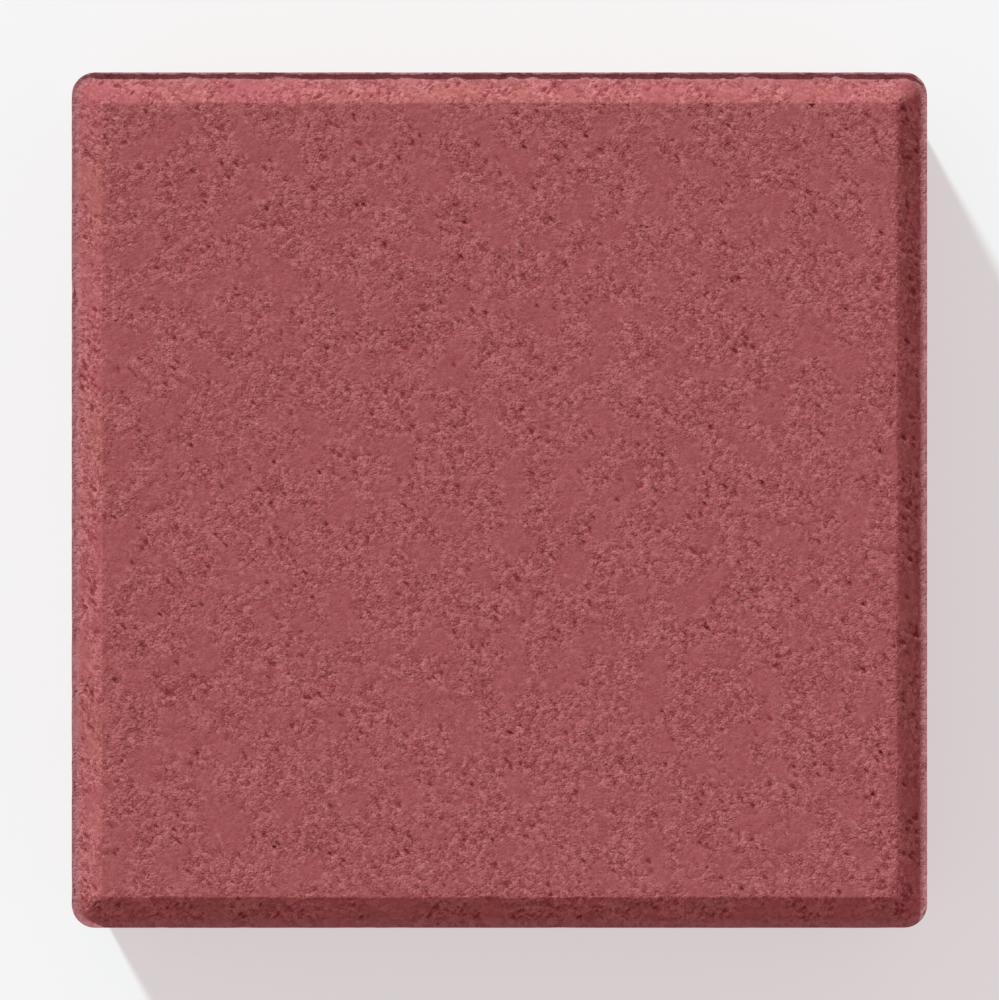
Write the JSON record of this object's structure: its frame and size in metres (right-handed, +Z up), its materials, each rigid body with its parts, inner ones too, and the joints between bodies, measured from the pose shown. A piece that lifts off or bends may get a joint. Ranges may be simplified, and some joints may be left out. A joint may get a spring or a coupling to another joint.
{
  "type": "concrete paving stone",
  "caption": "Square pressed concrete paving stone, red right through, with a flat wear face, a chamfered edge above a narrow ledge, and spacer nibs on its sides.",
  "frame": {"origin": "centre of the base, on the bed the stone lies on", "axes": "+Z up, out of the wear face; X and Y along the stone's sides"},
  "size_m": [0.2, 0.2, 0.06],
  "materials": {
    "red_concrete": "through-coloured red concrete, fine sandy face, matt"
  },
  "bodies": {
    "root": {"paving_stone": "red_concrete"}
  },
  "joints": []
}
